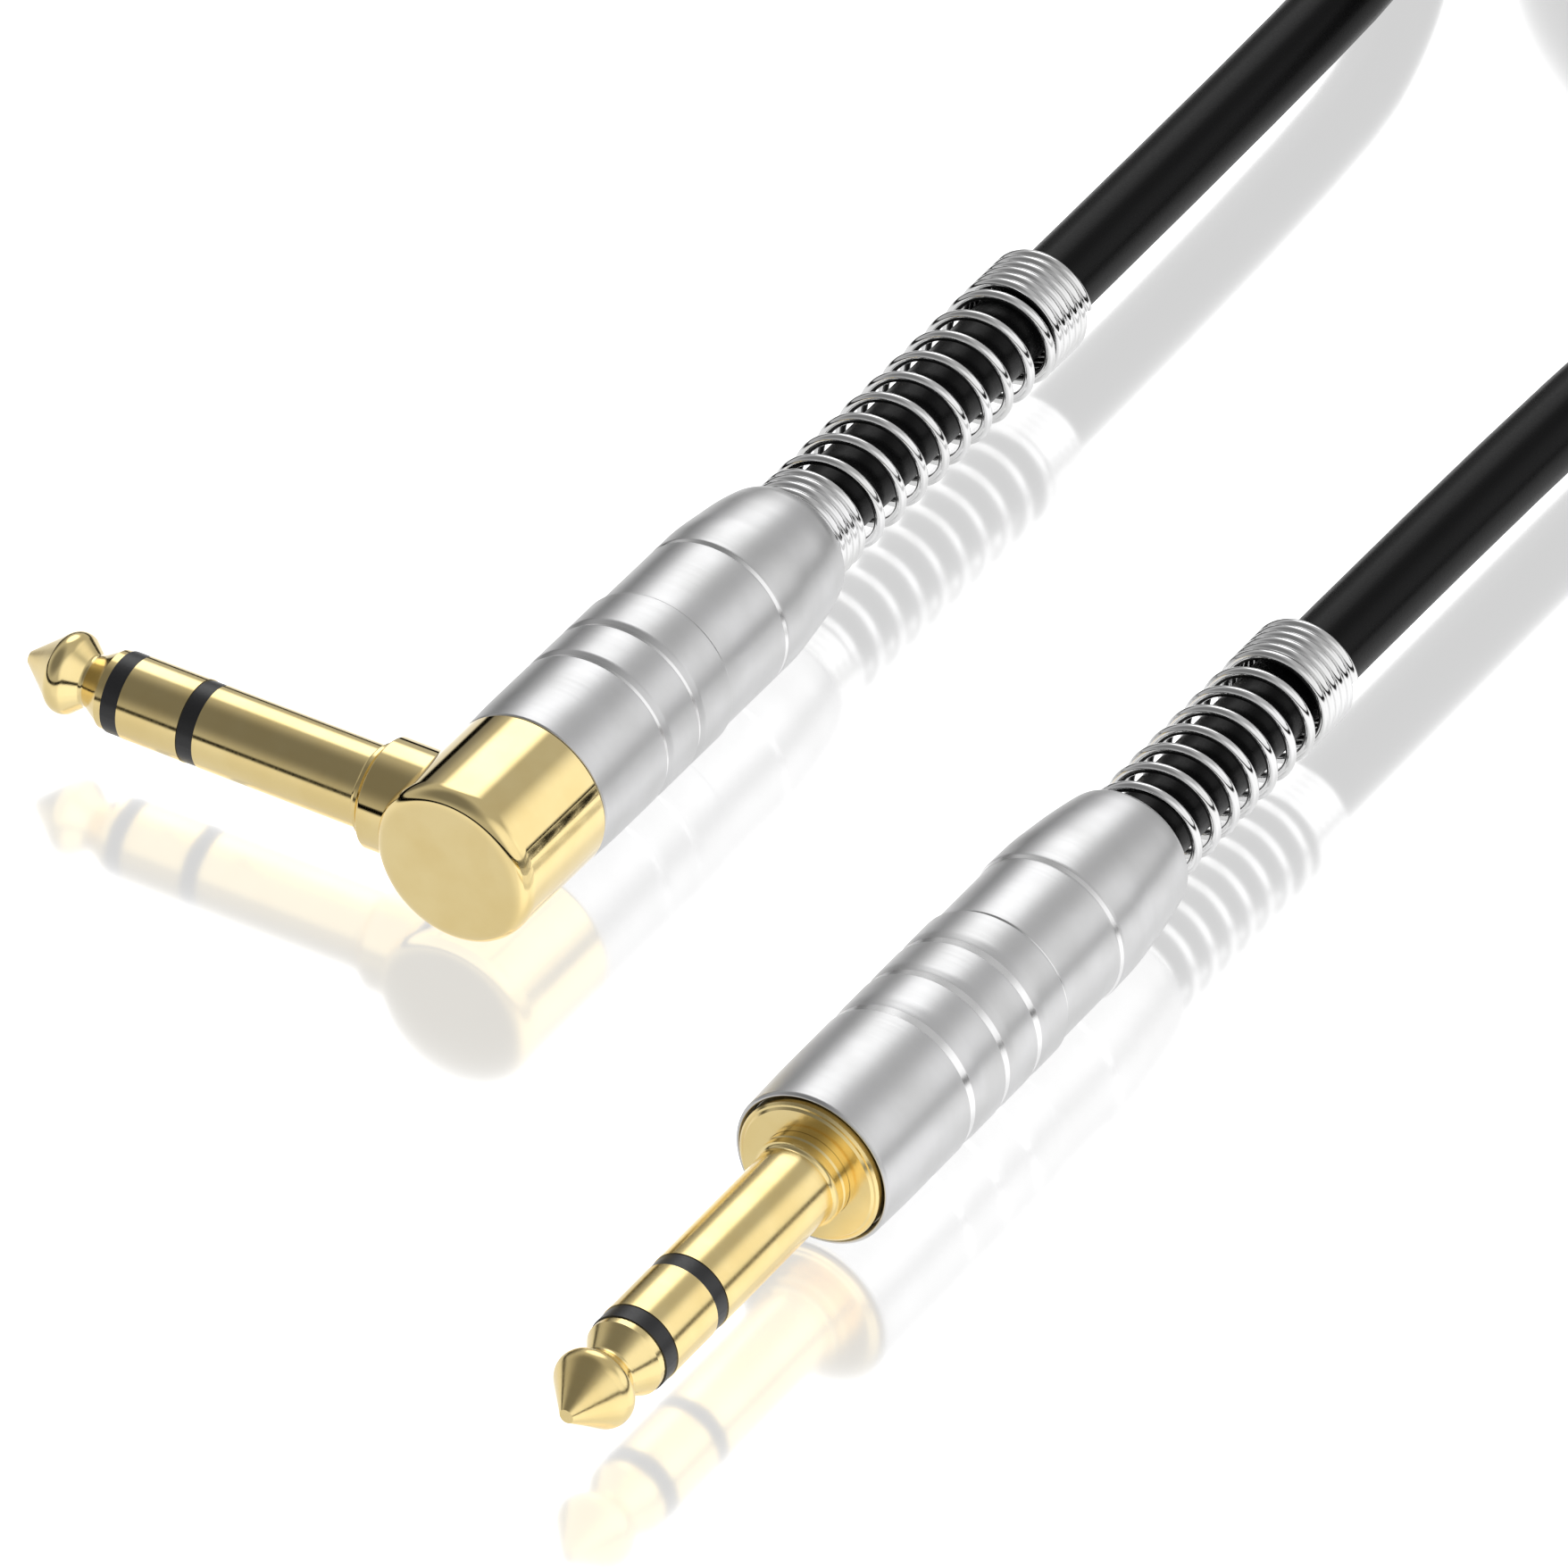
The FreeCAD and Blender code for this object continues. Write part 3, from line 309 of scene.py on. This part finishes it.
# ==== cord ========================================================================================
def coil_points():
    """Turns of the coil, wound in four layers with one outer turn back down, as control points."""
    grow = 1 / math.cos(math.pi / COIL_STEPS)
    points = []
    step = 0

    def put(radius, height):
        nonlocal step
        angle = 2 * math.pi * step / COIL_STEPS
        points.append((COIL_CENTRE[0] + radius * MM * grow * math.cos(angle),
                       COIL_CENTRE[1] + radius * MM * grow * math.sin(angle), height))
        step += 1

    for turns, r0, r1, low, high in COIL_STAGES:
        count = int(turns * COIL_STEPS)
        for k in range(count):
            rise = min(k / (COIL_STEPS / 4), 1.0)
            put(r0 + (r1 - r0) * k / count, LAYER_Z[low] + (LAYER_Z[high] - LAYER_Z[low]) * rise)
    quarter = COIL_STEPS // 4
    for r0, r1, z0, z1 in OUTER_TURN:
        for k in range(quarter):
            put(r0 + (r1 - r0) * k / quarter, (z0 + (z1 - z0) * k / quarter) * MM)
    return points


def build_cord(tie):
    points = STRAIGHT_ROUTE + coil_points() + ANGLE_ROUTE[::-1]
    curve = bpy.data.curves.new("instrument_cord", "CURVE")
    curve.dimensions = "3D"
    spline = curve.splines.new("NURBS")
    spline.points.add(len(points) - 1)
    for item, point in zip(spline.points, points):
        item.co = (*point, 1.0)
    spline.order_u = CORD_ORDER
    spline.use_endpoint_u = True
    spline.resolution_u = CORD_RESOLUTION
    curve.bevel_depth = CORD_D / 2
    curve.bevel_resolution = CORD_BEVEL_STEPS
    curve.use_fill_caps = True
    curve.materials.append(MATERIALS["cord_jacket"])
    cord = bpy.data.objects.new("instrument_cord", curve)
    bpy.context.scene.collection.objects.link(cord)
    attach(cord, "cable")
    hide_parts("cord_from_straight", "cord_coil", "cord_from_angle")


# ==== pieces ======================================================================================
def add_mesh(name, points, faces, material, normals=None):
    """New object from points and faces, smooth, with a normal of its own at each point if given."""
    mesh = bpy.data.meshes.new(name)
    mesh.from_pydata(points, [], faces)
    mesh.polygons.foreach_set("use_smooth", [True] * len(mesh.polygons))
    mesh.update()
    if normals:
        mesh.normals_split_custom_set_from_vertices(normals)
    mesh.materials.append(MATERIALS[material])
    obj = bpy.data.objects.new(name, mesh)
    bpy.context.scene.collection.objects.link(obj)
    return obj


def round_corners(corners, closed=True):
    """Outline with each corner (x, y, rounding) eased: places, outward normals and marks of a run cut bright,
    the run that takes a painted highlight.
    """
    area = sum(a[0] * b[1] - b[0] * a[1] for a, b in zip(corners, corners[1:] + corners[:1]))
    side = 1.0 if area > 0 else -1.0
    places = []
    for k, corner in enumerate(corners):
        here = Vector(corner[:2])
        into = here - Vector(corners[k - 1][:2])
        out = Vector(corners[(k + 1) % len(corners)][:2]) - here
        reach = min(corner[2], 0.45 * into.length, 0.45 * out.length)
        into.normalize()
        out.normalize()
        if not closed and k == 0:
            into = out
        if not closed and k == len(corners) - 1:
            out = into
        for step in range(CORNER_PLACES if reach else 1):
            t = step / CORNER_STEPS
            place = here - into * reach * (1 - t) ** 2 + out * reach * t ** 2
            heading = (into * (1 - t) + out * t).normalized()
            # Marks the run that starts at a corner with a fourth entry: cut bright, it takes the painted
            # highlight.
            highlight_cut = len(corner) > 3 and step == CORNER_STEPS
            places.append((place, Vector((heading.y, -heading.x)) * side, highlight_cut))
    return places


class Turned:
    """Pieces turned on a lathe, in one mesh, from millimetre outlines of (along, radius, rounding)."""

    def __init__(self):
        self.points, self.normals, self.faces, self.highlight_cuts = [], [], [], []

    def turn(self, corners, origin, across=False, closed=True, saddle=None):
        """Add a body turned about +Y, or -X if across; it ends on a round body of radius saddle, if given."""
        places = round_corners(corners, closed)
        count, base = len(places), len(self.points)

        def put(along, radius, up):
            return Vector((-along, radius, up)) if across else Vector((radius, along, up))

        for k in range(LATHE_SEGMENTS):
            angle = 2 * math.pi * k / LATHE_SEGMENTS
            cosine, sine = math.cos(angle), math.sin(angle)
            for place, normal, _ in places:
                along = place.x
                if saddle and along == 0:
                    along = math.sqrt(saddle ** 2 - (place.y * sine) ** 2)
                self.points.append(origin + put(along, place.y * cosine, place.y * sine) * MM)
                self.normals.append(put(normal.x, normal.y * cosine, normal.y * sine))
        faces = []
        for k in range(LATHE_SEGMENTS):
            here, there = base + k * count, base + (k + 1) % LATHE_SEGMENTS * count
            for j in range(count if closed else count - 1):
                m = (j + 1) % count
                faces.append((here + j, here + m, there + m, there + j))
                self.highlight_cuts.append(places[j][2])
        if not closed:
            faces.append(tuple(base + k * count for k in reversed(range(LATHE_SEGMENTS))))
            faces.append(tuple(base + k * count + count - 1 for k in range(LATHE_SEGMENTS)))
            self.highlight_cuts += [False, False]
        for face in faces:
            first, second, third = (self.points[face[k]] for k in (0, len(face) // 3, len(face) * 2 // 3))
            facing = (second - first).cross(third - first)
            outward = sum((self.normals[k] for k in face), Vector())
            self.faces.append(face if facing.dot(outward) > 0 else face[::-1])

    def build(self, name, body, node, slot, *materials):
        piece = add_mesh(name, self.points, self.faces, materials[0], self.normals)
        for material in materials[1:]:
            piece.data.materials.append(MATERIALS[material])
        # Faces of the runs cut bright take the second material; on the shells that is the lighter nickel with
        # the painted highlight.
        piece.data.polygons.foreach_set("material_index", [int(highlight_cut) for highlight_cut in self.highlight_cuts])
        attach(piece, body)
        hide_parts(node)


def axis_of(node):
    """Front end of a node's axis along +Y, from its box."""
    low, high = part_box(node)
    return Vector(((low[0] + high[0]) / 2, low[1], (low[2] + high[2]) / 2))


def build_shells():
    """Turned shells with fine rounded edges and cut grooves, where the CAD shells are; the groove slopes are
    cut bright in a lighter nickel that paints in their highlight.
    """
    for plug, corners in (("straight", STRAIGHT_SHELL), ("angle", ANGLE_SHELL)):
        node = plug + "_shell"
        shell = Turned()
        shell.turn(corners, axis_of(node))
        # The runs cut bright take the lighter nickel, a painted highlight on the groove slopes.
        shell.build(plug + "_turned_shell", node, node, "satin_nickel", "satin_nickel", "highlight_cut_nickel")


def build_elbow():
    """Elbow of the right-angle plug with its rounded closed end, threaded spigot and boss."""
    joint = axis_of("angle_shell")
    elbow = Turned()
    elbow.turn(ELBOW, joint, closed=False)
    elbow.turn(BOSS, joint + Vector((0, PIN_FROM_JOINT * MM, 0)), across=True, saddle=BOSS_SINK)
    elbow.build("turned_elbow", "cable", "angle_elbow_housing", "gold_plate", "gold_polished")


def build_tie():
    """Hook-and-loop strap round the coil's far side: one turn with its end lapped over the top."""
    half = TIE_WIDTH / 2
    edge = TIE_LAYER / 2
    section = [(-half + edge, TIE_LAYER), (-half, edge), (-half + edge, 0.0),
               (half - edge, 0.0), (half, edge), (half - edge, TIE_LAYER)]
    width = len(section)

    def ribbon(outline):
        """Points of a flat band with eased edges along places (y, z)."""
        return [(COIL_CENTRE[0] + across, *(place + normal * lift))
                for place, normal, _ in outline for across, lift in section]

    def strip(first, second):
        """Faces between two rows of the band, by their first points."""
        return [(first + j, first + (j + 1) % width, second + (j + 1) % width, second + j)
                for j in range(width)]

    middle = Vector((COIL_CENTRE[1] + TIE_MIDDLE[0], TIE_MIDDLE[1]))
    corners = []
    for radius, height in TIE_LOOP:
        y, z = COIL_CENTRE[1] + radius * MM, height * MM
        away = Vector((math.copysign(TIE_CLEAR, y - middle.x), math.copysign(TIE_CLEAR, z - middle.y)))
        corners.append((y + away.x, z + away.y, TIE_ROUNDING))
    outline = round_corners(corners)
    rows = ribbon(outline)
    faces = [face for k in range(len(outline))
             for face in strip(k * width, (k + 1) % len(outline) * width)]
    lap = [(place + normal * (TIE_LAYER + TIE_LAP_GAP), normal, None)
           for place, normal, _ in outline[LAP_FROM:LAP_TO]]
    offset = len(rows)
    rows += ribbon(lap)
    for k in range(len(lap) - 1):
        faces += strip(offset + k * width, offset + (k + 1) * width)
    faces.append(tuple(offset + j for j in range(width)))
    faces.append(tuple(offset + (len(lap) - 1) * width + j for j in range(width))[::-1])
    tie = add_mesh("hook_and_loop_tie", rows, faces, "hook_tie")
    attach(tie, "cable")
    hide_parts("coil_tie")
    return tie


# ==== camera, floor and light =====================================================================
def build_camera():
    azimuth = math.radians(CAMERA_AZIMUTH)
    elevation = math.radians(CAMERA_ELEVATION)
    back = Vector((math.sin(azimuth) * math.cos(elevation), -math.cos(azimuth) * math.cos(elevation),
                   math.sin(elevation)))
    data = bpy.data.cameras.new("camera")
    data.lens = LENS
    data.sensor_width = SENSOR
    data.clip_start, data.clip_end = CAMERA_CLIP
    camera = bpy.data.objects.new("camera", data)
    camera.location = CAMERA_TARGET + back * CAMERA_DISTANCE
    camera.rotation_euler = back.to_track_quat("Z", "Y").to_euler()
    bpy.context.scene.collection.objects.link(camera)
    bpy.context.scene.camera = camera


def build_floor():
    """White glossy table, lit from inside so that shadows stay pale; reflections see its far edge dark."""
    mesh = bpy.data.meshes.new("floor")
    mesh.from_pydata([(-FLOOR_HALF, -FLOOR_HALF, 0), (FLOOR_HALF, -FLOOR_HALF, 0),
                      (FLOOR_HALF, FLOOR_HALF, 0), (-FLOOR_HALF, FLOOR_HALF, 0)], [], [(0, 1, 2, 3)])
    floor = bpy.data.objects.new("floor", mesh)
    n = Nodes("floor")
    n.set(Roughness=1.0, Specular_IOR_Level=0.0, Emission_Strength=FLOOR_GLOW)
    n.shader.inputs["Base Color"].default_value = (0, 0, 0, 1)
    n.shader.inputs["Emission Color"].default_value = (1, 1, 1, 1)
    mirror = n.add("ShaderNodeBsdfGlossy", {"Roughness": FLOOR_ROUGHNESS, "Color": (1, 1, 1, 1)})
    table = n.add("ShaderNodeMixShader", {0: FLOOR_MIRROR, 1: n.shader.outputs[0], 2: mirror.outputs[0]})
    grazing = n.add("ShaderNodeLayerWeight", {"Blend": 0.5}).outputs["Facing"]
    steepness = n.add("ShaderNodeMath", {0: 1.0, 1: grazing}, operation="SUBTRACT").outputs[0]
    lit = n.span(steepness, *FLOOR_EDGE, 0.0, 1.0)
    seen = n.add("ShaderNodeLightPath").outputs["Is Camera Ray"]
    lit = n.add("ShaderNodeMath", {0: lit, 1: seen}, operation="MAXIMUM").outputs[0]
    dark = n.add("ShaderNodeBsdfDiffuse", {"Color": (0, 0, 0, 1)})
    mixed = n.add("ShaderNodeMixShader", {0: lit, 1: dark.outputs[0], 2: table.outputs[0]})
    n.tree.links.new(mixed.outputs[0], n.tree.nodes["Material Output"].inputs["Surface"])
    mesh.materials.append(n.material)
    bpy.context.scene.collection.objects.link(floor)


class World:
    """The studio round the object, as smooth patches of light."""

    def __init__(self):
        world = bpy.data.worlds.new("studio")
        world.use_nodes = True
        bpy.context.scene.world = world
        self.tree = world.node_tree
        self.direction = self.tree.nodes.new("ShaderNodeTexCoord").outputs["Generated"]

    def math(self, operation, a, b):
        node = self.tree.nodes.new("ShaderNodeMath")
        node.operation = operation
        for socket, value in zip(node.inputs, (a, b)):
            if isinstance(value, bpy.types.NodeSocket):
                self.tree.links.new(value, socket)
            else:
                socket.default_value = value
        return node.outputs[0]

    def ramp(self, value, low, high, to_low, to_high):
        node = self.tree.nodes.new("ShaderNodeMapRange")
        node.interpolation_type = "SMOOTHSTEP"
        self.tree.links.new(value, node.inputs["Value"])
        for socket, number in zip(("From Min", "From Max", "To Min", "To Max"), (low, high, to_low, to_high)):
            node.inputs[socket].default_value = number
        return node.outputs["Result"]

    def facing(self, azimuth, elevation):
        az, el = math.radians(azimuth), math.radians(elevation)
        node = self.tree.nodes.new("ShaderNodeVectorMath")
        node.operation = "DOT_PRODUCT"
        self.tree.links.new(self.direction, node.inputs[0])
        node.inputs[1].default_value = (math.sin(az) * math.cos(el), math.cos(az) * math.cos(el),
                                        math.sin(el))
        return node.outputs["Value"]

    def patch(self, azimuth, elevation, inner, outer, strength):
        """Round patch, full inside the inner radius and gone at the outer one, in degrees."""
        return self.ramp(self.facing(azimuth, elevation), math.cos(math.radians(outer)),
                         math.cos(math.radians(inner)), 0.0, strength)


def build_world():
    """Softboxes behind, to the right and above, over a dark line at the horizon."""
    w = World()
    total = AMBIENT
    for setting in LIGHT_PATCHES:
        total = w.math("ADD", total, w.patch(*setting))
    height = w.facing(0, 90)
    total = w.math("MULTIPLY", total, w.ramp(height, *HORIZON_LINE, 0.0, 1.0))
    total = w.math("MAXIMUM", total, 0.0)
    seen = w.tree.nodes.new("ShaderNodeLightPath").outputs["Is Camera Ray"]
    total = w.math("ADD", w.math("MULTIPLY", total, w.math("SUBTRACT", 1.0, seen)), seen)
    background = w.tree.nodes["Background"]
    background.inputs["Color"].default_value = (1, 1, 1, 1)
    w.tree.links.new(total, background.inputs["Strength"])


build_camera()
build_cord(build_tie())
build_shells()
build_elbow()
build_floor()
build_world()
bpy.context.scene.view_settings.view_transform = "Standard"

bpy.context.view_layer.update()
